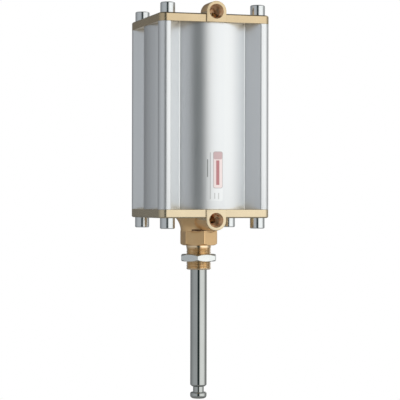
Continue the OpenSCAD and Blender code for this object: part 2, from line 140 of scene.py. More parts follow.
def skin(name, rings, wrap=False):
    """A closed skin over rings of points, capped at both ends or joined round into a tube."""
    form = bmesh.new()
    rows = [[form.verts.new(point) for point in ring] for ring in rings]
    for one, two in list(zip(rows, rows[1:])) + ([(rows[-1], rows[0])] if wrap else []):
        for i in range(len(one)):
            j = (i + 1) % len(one)
            form.faces.new((one[i], one[j], two[j], two[i]))
    if not wrap:
        form.faces.new(rows[0])
        form.faces.new(rows[-1])
    bmesh.ops.recalc_face_normals(form, faces=form.faces)
    mesh = bpy.data.meshes.new(name)
    form.to_mesh(mesh)
    form.free()
    return placed(name, mesh)


def arc(centre, radius, start, end, steps):
    angles = [start + (end - start) * i / steps for i in range(steps + 1)]
    return [(centre[0] + radius * math.cos(a), centre[1] + radius * math.sin(a)) for a in angles]


def circle(radius, steps=96, centre=(0, 0)):
    return arc(centre, radius, 0, 2 * math.pi, steps)[:-1]


def turned(name, profile, wrap=False, steps=144):
    """A lathe-turned solid about Z from (radius, height) points."""
    rings = [[(x, y, height) for x, y in circle(radius, steps)] for radius, height in profile]
    return skin(name, rings, wrap)


def inset(outline, distance):
    """The outline moved inwards; it runs anticlockwise."""
    moved = []
    for i, point in enumerate(outline):
        before = Vector(point) - Vector(outline[i - 1])
        after = Vector(outline[(i + 1) % len(outline)]) - Vector(point)
        one = Vector((-before.y, before.x)).normalized()
        two = Vector((-after.y, after.x)).normalized()
        middle = (one + two).normalized()
        moved.append(Vector(point) + middle * distance / max(0.3, middle.dot(one)))
    return [tuple(point) for point in moved]


def prism(name, outline, low, high, low_edge=0.0, high_edge=0.0):
    """An extruded solid whose end edges are rounded, or chamfered from 0.8 mm up."""
    levels = []
    for end, edge, sign in ((low, low_edge, 1), (high, high_edge, -1)):
        steps = ([0, 30, 60, 90] if edge < 0.8 else [0, 90]) if edge else [90]
        some = []
        for step in steps:
            t = math.radians(step)
            some.append((edge * (1 - math.sin(t)), end + sign * edge * (1 - math.cos(t))))
        levels += some if sign > 0 else some[::-1]
    rings = []
    for distance, height in levels:
        path = inset(outline, distance) if distance > 1e-6 else outline
        rings.append([(x, y, height) for x, y in path])
    return skin(name, rings)


def rounded_corners(points, radius, steps=6):
    """A convex anticlockwise polygon with its corners rounded."""
    outline = []
    for i, point in enumerate(points):
        corner = Vector(point)
        back = (Vector(points[i - 1]) - corner).normalized()
        ahead = (Vector(points[(i + 1) % len(points)]) - corner).normalized()
        half = back.angle(ahead) / 2
        centre = corner + (back + ahead).normalized() * radius / math.sin(half)
        first = corner + back * radius / math.tan(half) - centre
        last = corner + ahead * radius / math.tan(half) - centre
        start = math.atan2(first.y, first.x)
        sweep = (math.atan2(last.y, last.x) - start) % (2 * math.pi)
        outline += arc(centre, radius, start, start + sweep, steps)
    return outline


def four_turns(points):
    """The points and their copies by quarter turns, as one outline."""
    outline = []
    for c, s in ((1, 0), (0, 1), (-1, 0), (0, -1)):
        outline += [(x * c - y * s, x * s + y * c) for x, y in points]
    return outline


def hexagon(flats, turn=0.0):
    reach = flats / math.sqrt(3)
    return [(reach * math.cos(turn + i * math.pi / 3), reach * math.sin(turn + i * math.pi / 3))
            for i in range(6)]


def bake(piece):
    """Turns what the modifiers make into the piece's plain mesh."""
    seen = bpy.context.evaluated_depsgraph_get()
    solid = bpy.data.meshes.new_from_object(piece.evaluated_get(seen))
    piece.modifiers.clear()
    piece.data = solid
    return piece


def combine(piece, how, *others):
    """Unites the piece with others, cuts them from it, or keeps what they share."""
    for other in others:
        change = piece.modifiers.new("change", "BOOLEAN")
        change.operation, change.solver, change.object = how, "EXACT", other
        bake(piece)
        bpy.data.objects.remove(other)
    return piece


def facing(piece, matrix):
    piece.data.transform(matrix)
    return piece


FORWARD = Matrix.Rotation(math.pi / 2, 4, "X")  # what was made along Z lies along -Y


def joined(piece, *others):
    """Adds the others' skins to the piece's own mesh, as they are."""
    form = bmesh.new()
    for part in (piece, *others):
        form.from_mesh(part.data)
    form.to_mesh(piece.data)
    form.free()
    for part in others:
        bpy.data.objects.remove(part)
    return piece


def done(piece, material, slot, body, *nodes):
    """Scales the piece to metres, smooths it and hands it over."""
    piece.data.transform(Matrix.Scale(MM, 4))
    piece.data.shade_smooth()
    piece.data.set_sharp_from_angle(angle=math.radians(30))
    piece.data.materials.clear()
    piece.data.materials.append(material)
    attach(piece, body)
    if nodes:
        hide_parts(*nodes)
    return piece


# ---- Barrel ----


def barrel_half_side():
    """One eighth of the section: from a corner's middle, down the V groove, to a belly's middle."""
    middle = half_width - corner_radius
    top = Vector((screw_reach, half_width))
    root = belly_radius * Vector((math.sin(groove_angle), math.cos(groove_angle)))
    down = (root - top).normalized()
    out = Vector((down.y, -down.x))
    base = top + out * groove_fillet
    along = base.dot(down)
    run = -along - math.sqrt(along ** 2 - base.dot(base) + (belly_radius + groove_fillet) ** 2)
    centre = base + down * run
    on_wall = top + down * run - centre
    on_belly = centre * (belly_radius / (belly_radius + groove_fillet)) - centre
    start = math.atan2(on_wall.y, on_wall.x)
    sweep = math.atan2(on_belly.y, on_belly.x) - start
    sweep = (sweep + math.pi) % (2 * math.pi) - math.pi

    brow = 1.0  # how far the rounding of the groove's upper edge reaches
    path = arc((middle, middle), corner_radius, math.radians(45), math.pi / 2, 14)
    path.append((screw_reach + brow, half_width))
    first, last = Vector(path[-1]), top + down * brow
    for i in range(1, 5):
        t = i / 4
        path.append(tuple(first * (1 - t) ** 2 + top * 2 * t * (1 - t) + last * t ** 2))
    path += arc(centre, groove_fillet, start, start + sweep, 8)
    edge = centre + on_belly
    path += arc((0, 0), belly_radius, math.atan2(edge.y, edge.x), math.pi / 2, 20)[1:]
    return path


def screw_holes(radius, low, high):
    """Cutters for the four screws' holes, a little longer than what they go through."""
    return [prism("hole", circle(radius, 32, (x * screw_reach, y * screw_reach)), low - 1, high + 1)
            for x in (-1, 1) for y in (-1, 1)]


def barrel():
    half = barrel_half_side()
    outline = four_turns(half + [(-x, y) for x, y in half[-2:0:-1]])
    piece = prism("barrel_profile", outline, barrel_bottom, barrel_top, 0.3, 0.3)
    mouth = bore_radius + bore_lead + 1
    bore = turned("bore", [(mouth, barrel_bottom - 1), (bore_radius, barrel_bottom + bore_lead),
                           (bore_radius, barrel_top - bore_lead), (mouth, barrel_top + 1)], steps=180)
    return combine(piece, "DIFFERENCE", bore,
                   *screw_holes(tapped_hole_radius, barrel_bottom, barrel_top))


# ---- Covers ----


def cover_plate(name, inner, outward):
    """Plate, spigot with its ring groove, and bumper seat. outward is +1 up or -1 down."""
    middle = half_width - corner_radius
    outline = four_turns(arc((middle, middle), corner_radius, 0, math.pi / 2, 20))
    low, high = sorted((inner, inner + outward * plate_thickness))
    edges = (plate_edge, plate_outer_edge)[::outward]
    piece = prism(name, outline, low, high, *edges)
    height = lower_high.z - barrel_bottom  # how far a spigot reaches into the bore
    groove_radius = spigot_radius - ring_groove_depth
    groove_low = (height - ring_groove_width) / 2
    groove_high = groove_low + ring_groove_width
    seat = height - bumper_seat_depth
    hidden = 30.0  # where the spigot's skin starts, 1 mm inside the plate
    profile = [(hidden, -1), (spigot_radius, -1), (spigot_radius, groove_low),
               (groove_radius, groove_low), (groove_radius, groove_high),
               (spigot_radius, groove_high), (spigot_radius, height - 0.5),
               (spigot_radius - 0.5, height), (bumper_seat_outer, height), (bumper_seat_outer, seat),
               (bumper_seat_inner, seat), (bumper_seat_inner, height)]
    profile = [(radius, inner - outward * rise) for radius, rise in profile]
    combine(piece, "UNION", turned("spigot", profile, steps=180))
    return combine(piece, "DIFFERENCE", *screw_holes(clearance_hole_radius, low, high))


def port_boss(name, height, inner, back):
    """Boss whose round side stands away from the barrel and whose front is the port's face."""
    if inner < height:
        outline = [(-boss_radius, inner), (boss_radius, inner)]
        outline += arc((0, height), boss_radius, 0, math.pi, 48)
    else:
        outline = arc((0, height), boss_radius, math.pi, 2 * math.pi, 48)
        outline += [(boss_radius, inner), (-boss_radius, inner)]
    return facing(prism(name, outline, back, boss_front, 0.6, 0.3), FORWARD)


def port_holes(height, inner, passage):
    """The port's bore with its countersink and floor cone, and the drillings behind it."""
    bore = turned("bore", [(port_radius + port_chamfer + 1, boss_front + 1),
                           (port_radius, boss_front - port_chamfer),
                           (port_radius, boss_front - port_depth),
                           (passage_radius, boss_front - port_depth - 1.5),
                           (passage_radius, passage)], steps=96)
    facing(bore, Matrix.Translation((0, 0, height)) @ FORWARD)
    far = inner + (12 if inner > height else -12)
    low, high = sorted((height, far))
    drop = prism("drop", circle(passage_radius, 48, (0, -passage)), low, high)
    return bore, drop


def thread_skin(name, radius, depth, pitch, start, end, other, inside=False, steps=120,
                fade_start=1.0, fade_end=1.0, rows=10):
    """A tube along Z with a right-handed thread on one side: outside, or inside the hole."""
    rings = []
    count = round((end - start) / pitch * rows)
    for i in range(count + 1):
        z = start + (end - start) * i / count
        fade = min(1, max(0, (z - start) / fade_start), max(0, (end - z) / fade_end))
        ring = []
        for j in range(steps):
            turn = (z / pitch - j / steps) % 1
            bite = min(1.0, max(0.0, abs(2 * turn - 1) * 1.25 - 0.125))
            r = radius - depth * (1 - bite if inside else bite) * fade
            a = 2 * math.pi * j / steps
            ring.append((r * math.cos(a), r * math.sin(a), z))
        rings.append(ring)
    for z in (end, start):
        rings.append([(x, y, z) for x, y in circle(other, steps)])
    return skin(name, rings, wrap=True)


def port_thread(height):
    """G1/4 thread in a port: 19 turns to the inch between the port's wall and its crests."""
    sleeve = thread_skin("thread", port_radius - 0.02, port_thread_depth, port_pitch,
                         boss_front - port_depth + 0.6, boss_front - 0.6, port_radius + 0.03,
                         inside=True, steps=96, rows=8)
    return facing(sleeve, Matrix.Translation((0, 0, height)) @ FORWARD)


def upper_cover():
    piece = cover_plate("upper_cover_pressing", barrel_top, 1)
    boss = port_boss("boss", upper_port_height, barrel_top, upper_boss_back)
    combine(piece, "UNION", boss)
    combine(piece, "DIFFERENCE", *port_holes(upper_port_height, barrel_top, upper_passage_back))
    return joined(piece, port_thread(upper_port_height))


def nose_hexagon():
    """Hexagon with rounded corners, turned down to its flats at the panel shoulder."""
    outline = rounded_corners(hexagon(hexagon_flats, math.pi / 6), 1.5)
    piece = prism("hexagon", outline, 0, hexagon_height)
    reach = hexagon_flats / math.sqrt(3) + 1
    face = hexagon_flats * 0.485
    rise = math.tan(math.radians(30))
    form = turned("form", [(face - 0.4, 0), (face, 0.12), (face + 0.5, 0.12 + 0.3 * rise),
                           (reach, 0.12 + (reach - face) * rise),
                           (reach, hexagon_height), (neck_radius - 2, hexagon_height)])
    return combine(piece, "INTERSECT", form)


def neck():
    """Trumpet that tapers into the hexagon and is recessed under the port duct."""
    low, high = hexagon_height - 0.4, lower_plate
    flare, height = flare_radius - neck_radius, high - low
    sweep = (flare ** 2 + height ** 2) / (2 * flare)
    taper = neck_radius - hexagon_flats / 2 + 0.6
    profile = [(rod_hole_radius + 4, low - taper), (neck_radius - taper, low - taper)]
    for i in range(17):
        z = height * i / 16
        profile.append((neck_radius + sweep - math.sqrt(sweep ** 2 - z ** 2), low + z))
    profile += [(flare_radius, high + 0.6), (rod_hole_radius + 4, high + 0.6)]
    wide, front = recess_half_width, flare_radius + 2
    recess = prism("recess", [(-wide, -front), (wide, -front), (wide, -recess_wall), (-wide, -recess_wall)],
                   hexagon_height, hexagon_height + recess_height)
    return combine(turned("neck", profile), "DIFFERENCE", recess)


def lower_cover():
    piece = cover_plate("lower_cover_pressing", barrel_bottom, -1)
    combine(piece, "UNION", neck(), nose_hexagon(),
            port_boss("boss", lower_port_height, barrel_bottom, lower_boss_back))
    pocket = turned("pocket", [(rod_hole_radius, -1), (rod_hole_radius, pocket_floor),
                               (pocket_radius, pocket_floor), (pocket_radius, circlip_groove_low),
                               (circlip_groove_radius, circlip_groove_low),
                               (circlip_groove_radius, circlip_groove_high),
                               (pocket_radius, circlip_groove_high), (pocket_radius, lower_high.z + 1)])
    combine(piece, "DIFFERENCE", pocket, *port_holes(lower_port_height, barrel_bottom, lower_passage_back))
    collar, sleeve, start = 2.0, rod_hole_radius + 1.0, nose_end + 0.9
    thread = thread_skin("nose", nose_radius, nose_thread_depth, nose_pitch, start, -collar,
                         sleeve, fade_start=0.8, fade_end=1.2)
    ring = turned("ring", [(rod_hole_radius, 0.05), (rod_hole_radius, nose_end + 0.3),
                           (rod_hole_radius + 0.3, nose_end), (nose_radius - 1.0, nose_end),
                           (nose_radius - 0.1, start + 0.01), (sleeve, start + 0.01),
                           (sleeve, -collar), (nose_radius - 0.15, -collar),
                           (nose_radius, -collar + 0.15), (nose_radius, 0.05)], wrap=True)
    return joined(piece, thread, ring, port_thread(lower_port_height))


# ---- Making node trees ----


def add_node(tree, kind, inputs=None, **settings):
    """Adds a node with its settings. An input is either another node's socket or a value."""
    made = tree.nodes.new(kind)
    for key, value in settings.items():
        setattr(made, key, value)
    for key, value in (inputs or {}).items():
        if isinstance(value, bpy.types.NodeSocket):
            tree.links.new(value, made.inputs[key])
        else:
            made.inputs[key].default_value = value
    return made


def add_math(tree, operation, one, two=0.0, three=0.0):
    return add_node(tree, "ShaderNodeMath", {0: one, 1: two, 2: three}, operation=operation).outputs[0]


def add_mix(tree, share, one, two):
    """Blends two colours, each a socket or three numbers."""
    one, two = (value if isinstance(value, bpy.types.NodeSocket) else (*value, 1) for value in (one, two))
    return add_node(tree, "ShaderNodeMix", {0: share, 6: one, 7: two}, data_type="RGBA").outputs[2]


# ---- Cover screws ----


def screw_tree():
    """Four socket cap screws on a square, their heads on Z = Seat."""
    tree = bpy.data.node_groups.new("cover_screw_square", "GeometryNodeTree")
    sizes = {}
    for name, kind, value in (
            ("Reach", "Float", 44.5), ("Seat", "Float", 0.0), ("Tilt", "Float", 0.0),
            ("Head Radius", "Float", 7.0), ("Head Height", "Float", 10.0), ("Edge", "Float", 0.7),
            ("Socket Flats", "Float", 6.0), ("Socket Depth", "Float", 5.0),
            ("Shank Radius", "Float", 4.0), ("Shank Length", "Float", 30.0),
            ("Plain Length", "Float", 8.0), ("Pitch", "Float", 1.25), ("Thread Depth", "Float", 0.6),
            ("Seed", "Int", 3), ("Finish", "Material", None)):
        socket = tree.interface.new_socket(name=name, in_out="INPUT", socket_type="NodeSocket" + kind)
        if value is not None:
            socket.default_value = value
        sizes[name] = socket.identifier
    tree.interface.new_socket(name="Screws", in_out="OUTPUT", socket_type="NodeSocketGeometry")
    given = tree.nodes.new("NodeGroupInput")
    result = tree.nodes.new("NodeGroupOutput")
    node, calc = partial(add_node, tree), partial(add_math, tree)

    def place(x=0.0, y=0.0, z=0.0):
        return node("ShaderNodeCombineXYZ", {0: x, 1: y, 2: z}).outputs[0]

    def moved(geometry, offset, turn=(0, 0, 0)):
        return node("GeometryNodeTransform", {"Geometry": geometry, "Translation": offset,
                                              "Rotation": turn}).outputs[0]

    size = given.outputs
    # Head: its middle ring rises to the chamfer and its top ring draws in
    head = node("GeometryNodeMeshCylinder", {"Vertices": 64, "Side Segments": 2,
                                             "Radius": size["Head Radius"],
                                             "Depth": size["Head Height"]})
    half = calc("MULTIPLY", size["Head Height"], 0.5)
    here = node("ShaderNodeSeparateXYZ", {0: node("GeometryNodeInputPosition").outputs[0]}).outputs
    quarter = calc("MULTIPLY", size["Head Height"], 0.25)
    top = calc("GREATER_THAN", here[2], quarter)
    middle = calc("LESS_THAN", calc("ABSOLUTE", here[2]), quarter)
    shrink = calc("SUBTRACT", 1.0, calc("MULTIPLY", top,
                                        calc("DIVIDE", size["Edge"], size["Head Radius"])))
    lift = calc("MULTIPLY", middle, calc("SUBTRACT", half, size["Edge"]))
    shaped = node("GeometryNodeSetPosition", {
        "Geometry": head.outputs["Mesh"],
        "Position": place(calc("MULTIPLY", here[0], shrink), calc("MULTIPLY", here[1], shrink),
                          calc("ADD", here[2], lift))}).outputs[0]
    head_mesh = moved(shaped, place(z=half))
    # Socket: a hexagonal cutter that runs past the head's top
    cutter_depth = calc("ADD", size["Socket Depth"], 1.0)
    cutter = node("GeometryNodeMeshCylinder", {
        "Vertices": 6, "Radius": calc("DIVIDE", size["Socket Flats"], math.sqrt(3)),
        "Depth": cutter_depth}).outputs["Mesh"]
    cutter_mesh = moved(cutter, place(z=calc("ADD", calc("MULTIPLY", cutter_depth, 0.5), calc(
        "SUBTRACT", size["Head Height"], size["Socket Depth"]))))
    cut = node("GeometryNodeMeshBoolean", {"Mesh 1": head_mesh}, operation="DIFFERENCE")
    tree.links.new(cutter_mesh, cut.inputs["Mesh 2"])
    # Shank: plain under the head, then a thread that fades in
    shank = node("GeometryNodeMeshCylinder", {"Vertices": 28, "Side Segments": 130,
                                              "Radius": size["Shank Radius"],
                                              "Depth": size["Shank Length"]}).outputs["Mesh"]
    shank_mesh = moved(shank, place(z=calc("SUBTRACT", 0.2, calc(
        "MULTIPLY", size["Shank Length"], 0.5))))
    spot = node("ShaderNodeSeparateXYZ", {0: node("GeometryNodeInputPosition").outputs[0]}).outputs
    around = calc("DIVIDE", calc("ARCTAN2", spot[1], spot[0]), 2 * math.pi)
    turn = calc("FRACT", calc("SUBTRACT", calc("DIVIDE", spot[2], size["Pitch"]), around))
    bite = calc("ABSOLUTE", calc("SUBTRACT", calc("MULTIPLY", turn, 2.0), 1.0))
    below = calc("SUBTRACT", calc("MULTIPLY", spot[2], -1.0), size["Plain Length"])
    fade = node("ShaderNodeMapRange", {"Value": below, "From Min": 0.0, "From Max": 1.5}).outputs[0]
    tip = node("ShaderNodeMapRange", {
        "Value": calc("SUBTRACT", calc("ADD", spot[2], size["Shank Length"]), 0.2),
        "From Min": 0.0, "From Max": 1.2, "To Min": 1.0, "To Max": 0.0}).outputs[0]
    loss = calc("MULTIPLY", calc("MAXIMUM", calc("MULTIPLY", bite, fade), tip), size["Thread Depth"])
    keep = calc("SUBTRACT", 1.0, calc("DIVIDE", loss, size["Shank Radius"]))
    threaded = node("GeometryNodeSetPosition", {
        "Geometry": shank_mesh,
        "Position": place(calc("MULTIPLY", spot[0], keep), calc("MULTIPLY", spot[1], keep),
                          spot[2])}).outputs[0]
    screw = node("GeometryNodeJoinGeometry")
    tree.links.new(threaded, screw.inputs[0])
    tree.links.new(cut.outputs[0], screw.inputs[0])
    # Square of four, each turned as it was tightened
    side = calc("MULTIPLY", size["Reach"], 2.0)
    square = node("GeometryNodeMeshGrid", {"Size X": side, "Size Y": side,
                                           "Vertices X": 2, "Vertices Y": 2}).outputs["Mesh"]
    tightened = node("FunctionNodeRandomValue", data_type="FLOAT")
    tightened.inputs[3].default_value = math.tau
    tree.links.new(size["Seed"], tightened.inputs["Seed"])
    copies = node("GeometryNodeInstanceOnPoints", {
        "Points": square, "Instance": screw.outputs[0],
        "Rotation": place(z=tightened.outputs[1])}).outputs[0]
    real = node("GeometryNodeRealizeInstances", {"Geometry": copies}).outputs[0]
    seated = moved(real, place(z=size["Seat"]), place(x=size["Tilt"]))
    coated = node("GeometryNodeSetMaterial", {"Geometry": seated,
                                              "Material": size["Finish"]}).outputs[0]
    tree.links.new(coated, result.inputs[0])
    return tree, sizes


def cover_screws(name, tree, sizes, material, seat, tilt, head_top, seed):
    piece = placed(name, bpy.data.meshes.new(name))
    maker = piece.modifiers.new("screws", "NODES")
    maker.node_group = tree
    height = abs(head_top - seat)
    for key, value in (("Reach", screw_reach), ("Seat", seat), ("Tilt", tilt),
                       ("Head Radius", screw_head_radius), ("Head Height", height),
                       ("Shank Length", upper_screws_high.z - upper_screws_low.z - height),
                       ("Plain Length", plate_thickness), ("Seed", seed), ("Finish", material)):
        maker[sizes[key]] = value
    return bake(piece)


# ---- Lock nut and rod ----


def lock_nut():
    low, high = nut_low.z, nut_high.z
    outline = rounded_corners(hexagon(lock_nut_flats, math.pi / 6 + lock_nut_turn), 0.5)
    piece = prism("lock_nut_m24", outline, low, high)
    reach, face = lock_nut_flats / math.sqrt(3) + 1, lock_nut_flats * 0.485
    drop = (reach - face) * math.tan(math.radians(30))
    form = turned("form", [(face - 0.3, low), (face, low + 0.08), (reach, low + drop),
                           (reach, high - drop), (face, high - 0.08), (face - 0.3, high)])
    combine(piece, "INTERSECT", form)
    bore = nose_radius + 0.05
    hole = turned("hole", [(bore + 1.2, low - 0.6), (bore, low + 0.6), (bore, high - 0.6),
                           (bore + 1.2, high + 0.6)])
    return combine(piece, "DIFFERENCE", hole)


def piston_rod():
    tip = rod_low.z
    knob = mounts["rod_neck"]["pos_m"][2] / MM - mounts["rod_neck"]["dims"]["length_mm"] / 2
    shoulder = knob + mounts["rod_neck"]["dims"]["length_mm"]
    groove = mounts["rod_neck"]["dims"]["r_mm"]
    curve = 3.0
    seat = box_of("lower_piston")[0].z + 4.0
    # The ring just above the shoulder's chamfer keeps the long cylinder's shading straight
    profile = [(rod_radius - curve - 2, tip)]
    profile += [(rod_radius - curve + curve * math.sin(t), tip + curve - curve * math.cos(t))
                for t in (math.radians(i * 7.5) for i in range(13))]
    profile += [(rod_radius, knob - 1.0), (rod_radius - 0.08, knob - 0.7),
                (rod_radius - 0.7, knob - 0.08), (rod_radius - 1.0, knob),
                (groove + 0.3, knob), (groove, knob + 0.3), (groove, shoulder - 0.3),
                (groove + 0.3, shoulder), (rod_radius - 1.75, shoulder),
                (rod_radius - 1.5, shoulder + 0.12), (rod_radius - 0.12, shoulder + 1.5),
                (rod_radius, shoulder + 1.75), (rod_radius, shoulder + 1.85), (rod_radius, seat),
                (rod_thread_radius, seat), (rod_thread_radius, rod_high.z - 0.8),
                (rod_thread_radius - 0.8, rod_high.z)]
    return turned("piston_rod_ground", profile)


# ---- Label ----


def label():
    """Foil that follows the front belly, with rounded corners."""
    left, right, low, high, corner = -9.3, 7.3, 43.0, 90.0, 1.5
    lift, thick, columns = 0.015, 0.1, 36
    inner, outer = [], []
    for i in range(columns + 1):
        s = left + (right - left) * i / columns
        near = min(s - left, right - s)
        trim = corner - math.sqrt(max(0, corner ** 2 - max(0, corner - near) ** 2))
        for rows, radius in ((inner, belly_radius + lift), (outer, belly_radius + lift + thick)):
            a = s / belly_radius
            x, y = radius * math.sin(a), -radius * math.cos(a)
            rows.append([(x, y, low + trim), (x, y, high - trim)])
    return skin("blank_label", [(a[0], b[0], b[1], a[1]) for a, b in zip(inner, outer)])


# ---- Finishes ----


class Finish:
    """A procedural material: a Principled shader and short ways to feed it."""

    def __init__(self, name, colour, roughness, metallic=1.0):
        self.material = bpy.data.materials.new(name)
        self.material.use_nodes = True
        self.tree = self.material.node_tree
        self.tree.nodes.clear()
        self.shader = self.node("ShaderNodeBsdfPrincipled", {
            "Base Color": (*colour, 1), "Roughness": roughness, "Metallic": metallic})
        out = self.node("ShaderNodeOutputMaterial")
        self.tree.links.new(self.shader.outputs[0], out.inputs["Surface"])
        self.place = self.node("ShaderNodeTexCoord").outputs["Object"]

    def node(self, kind, inputs=None, **settings):
        return add_node(self.tree, kind, inputs, **settings)

    def calc(self, operation, *values):
        return add_math(self.tree, operation, *values)

    def noise(self, scale, detail=3.0):
        """Noise whose grain is set per axis, in waves to the metre."""
        spread = self.node("ShaderNodeMapping", {"Vector": self.place, "Scale": scale})
        return self.node("ShaderNodeTexNoise", {"Vector": spread.outputs[0], "Scale": 1.0,
                                                "Detail": detail, "Roughness": 0.55}).outputs[0]

    def span(self, value, low, high, start=0.3, end=0.7):
        """Spreads the value's stretch from start to end over low to high."""
        return self.node("ShaderNodeMapRange", {"Value": value, "From Min": start, "From Max": end,
                                                "To Min": low, "To Max": high}).outputs[0]

    def mix(self, share, one, two):
        return add_mix(self.tree, share, one, two)

    def feed(self, name, value):
        self.tree.links.new(value, self.shader.inputs[name])

    def bump(self, height, depth):
        """Relief of a real depth, in metres."""
        made = self.node("ShaderNodeBump", {"Height": height, "Strength": 1.0, "Distance": depth})
        self.feed("Normal", made.outputs[0])


def drawn_aluminium():
    """Anodised extrusion: die lines along Z and a faint cloudiness."""
    f = Finish("anodised_extrusion", (0.86, 0.87, 0.88), 0.35, 0.82)
    lines = f.noise((2200, 2200, 3), 3)
    broad = f.noise((160, 160, 1.5), 2)
    cloud = f.noise((14, 14, 9), 3)
    f.feed("Roughness", f.calc("ADD", f.span(lines, 0.28, 0.33), f.span(cloud, -0.01, 0.02)))
    f.feed("Base Color", f.mix(f.span(broad, 0.0, 1.0), (0.83, 0.855, 0.875), (0.86, 0.88, 0.89)))
    f.bump(lines, 0.000001)
    return f.material


def cover_brass(name, tone):
    """Hot-pressed brass: milled in the given tone on the plate, left as pressed on neck and duct.

    The bores are tarnished, the threads freshly cut with painted shade at their root, the recess painted
    shadow.
    """
    f = Finish(name, tone, 0.32)
    parts = f.node("ShaderNodeAttribute", attribute_name="skin").outputs["Color"]
    pressed, bored, threaded = f.node("ShaderNodeSeparateColor", {0: parts}).outputs[:3]
    grain = f.noise((1800, 1800, 1800), 3)
    cloud = f.noise((70, 70, 70), 4)
    cutter = f.noise((60, 60, 2600), 2)
    milled = f.mix(f.span(cloud, 0, 1), tuple(c * 0.96 for c in tone), tuple(c * 1.04 for c in tone))
    raw = f.mix(f.span(cloud, 0, 1), (0.93, 0.61, 0.30), (0.98, 0.685, 0.37))
    cut = f.mix(f.span(cloud, 0, 1), (0.93, 0.73, 0.48), (0.98, 0.78, 0.53))
    across = f.node("ShaderNodeVectorMath", {0: f.place, 1: (1, 1, 0)}, operation="MULTIPLY").outputs[0]
    reach = f.node("ShaderNodeVectorMath", {0: across}, operation="LENGTH").outputs["Value"]
    # Painted shade: the cut thread's colour darkens over its last 0.25 mm towards the root.
    root = nose_radius - nose_thread_depth
    cut = f.mix(f.span(reach, 1.0, 0.0, root * MM, (root + 0.25) * MM), cut, (0.70, 0.51, 0.30))
    # Painted shadow: the recess under the duct, flagged both bored and threaded, is painted near black.
    painted_recess_shadow = f.calc("MULTIPLY", threaded, bored)
    tarnished = f.mix(f.span(cloud, 0, 1), (0.82, 0.50, 0.27), (0.92, 0.59, 0.34))
    skin = f.mix(bored, f.mix(threaded, f.mix(pressed, milled, raw), cut), tarnished)
    f.feed("Base Color", f.mix(painted_recess_shadow, skin, (0.09, 0.05, 0.03)))
    cut_faces = f.calc("MULTIPLY_ADD", f.calc("MAXIMUM", threaded, bored), -0.08,
                       f.span(cutter, 0.24, 0.28))
    rough = f.span(grain, 0.30, 0.40)
    f.feed("Roughness", f.node("ShaderNodeMix", {0: pressed, 2: cut_faces, 3: rough}).outputs[0])
    f.feed("Metallic", f.calc("MULTIPLY_ADD", pressed, -0.12, 1.0))
    f.bump(f.calc("MULTIPLY", grain, pressed), 0.00003)
    return f.material


def zinc(name, tint, roughness):
    f = Finish(name, tint, roughness)
    cloud = f.noise((220, 220, 220), 3)
    grain = f.noise((1500, 1500, 1500), 2)
    f.feed("Base Color", f.mix(f.span(cloud, 0, 1), tint, tuple(c * 0.94 for c in tint)))
    f.feed("Roughness", f.span(grain, roughness - 0.03, roughness + 0.04))
    f.bump(grain, 0.000002)
    return f.material


def ground_chrome():
    """Hard chrome, ground round the axis."""
    f = Finish("ground_chrome", (0.60, 0.62, 0.62), 0.12)
    rings = f.noise((40, 40, 5200), 2)
    cloud = f.noise((60, 60, 25), 3)
    f.feed("Roughness", f.calc("ADD", f.span(rings, 0.05, 0.09), f.span(cloud, -0.01, 0.01)))
    f.feed("Base Color", f.mix(f.span(cloud, 0, 1), (0.50, 0.52, 0.505), (0.55, 0.57, 0.555)))
    f.bump(rings, 0.0000015)
    return f.material


def turned_aluminium():
    f = Finish("turned_aluminium", (0.74, 0.75, 0.76), 0.3)
    rings = f.noise((300, 300, 3500), 2)
    f.feed("Roughness", f.span(rings, 0.22, 0.38))
    f.feed("Base Color", f.mix(f.noise((50, 50, 50)), (0.70, 0.71, 0.73), (0.79, 0.80, 0.81)))
    f.bump(rings, 0.00001)
    return f.material


def moulded(name, colour, roughness, relief, pore=900):
    """Rubber or plastic from a mould."""
    f = Finish(name, colour, roughness, 0.0)
    grain = f.noise((pore, pore, pore), 3)
    cloud = f.noise((80, 80, 80), 2)
    f.feed("Roughness", f.span(grain, roughness - 0.06, roughness + 0.06))
    f.feed("Base Color", f.mix(f.span(cloud, 0, 1), colour, tuple(c * 1.12 for c in colour)))
    f.bump(grain, relief)
    return f.material


def sintered(name, colour, metallic, roughness):
    f = Finish(name, colour, roughness, metallic)
    pores = f.node("ShaderNodeTexVoronoi", {"Vector": f.place, "Scale": 2600.0}).outputs[0]
    f.feed("Base Color", f.mix(f.span(pores, 1, 0, 0.05, 0.35), colour,
                               tuple(c * 0.45 for c in colour)))
    f.feed("Roughness", f.span(pores, roughness + 0.15, roughness, 0.05, 0.35))
    f.bump(pores, 0.00002)
    return f.material


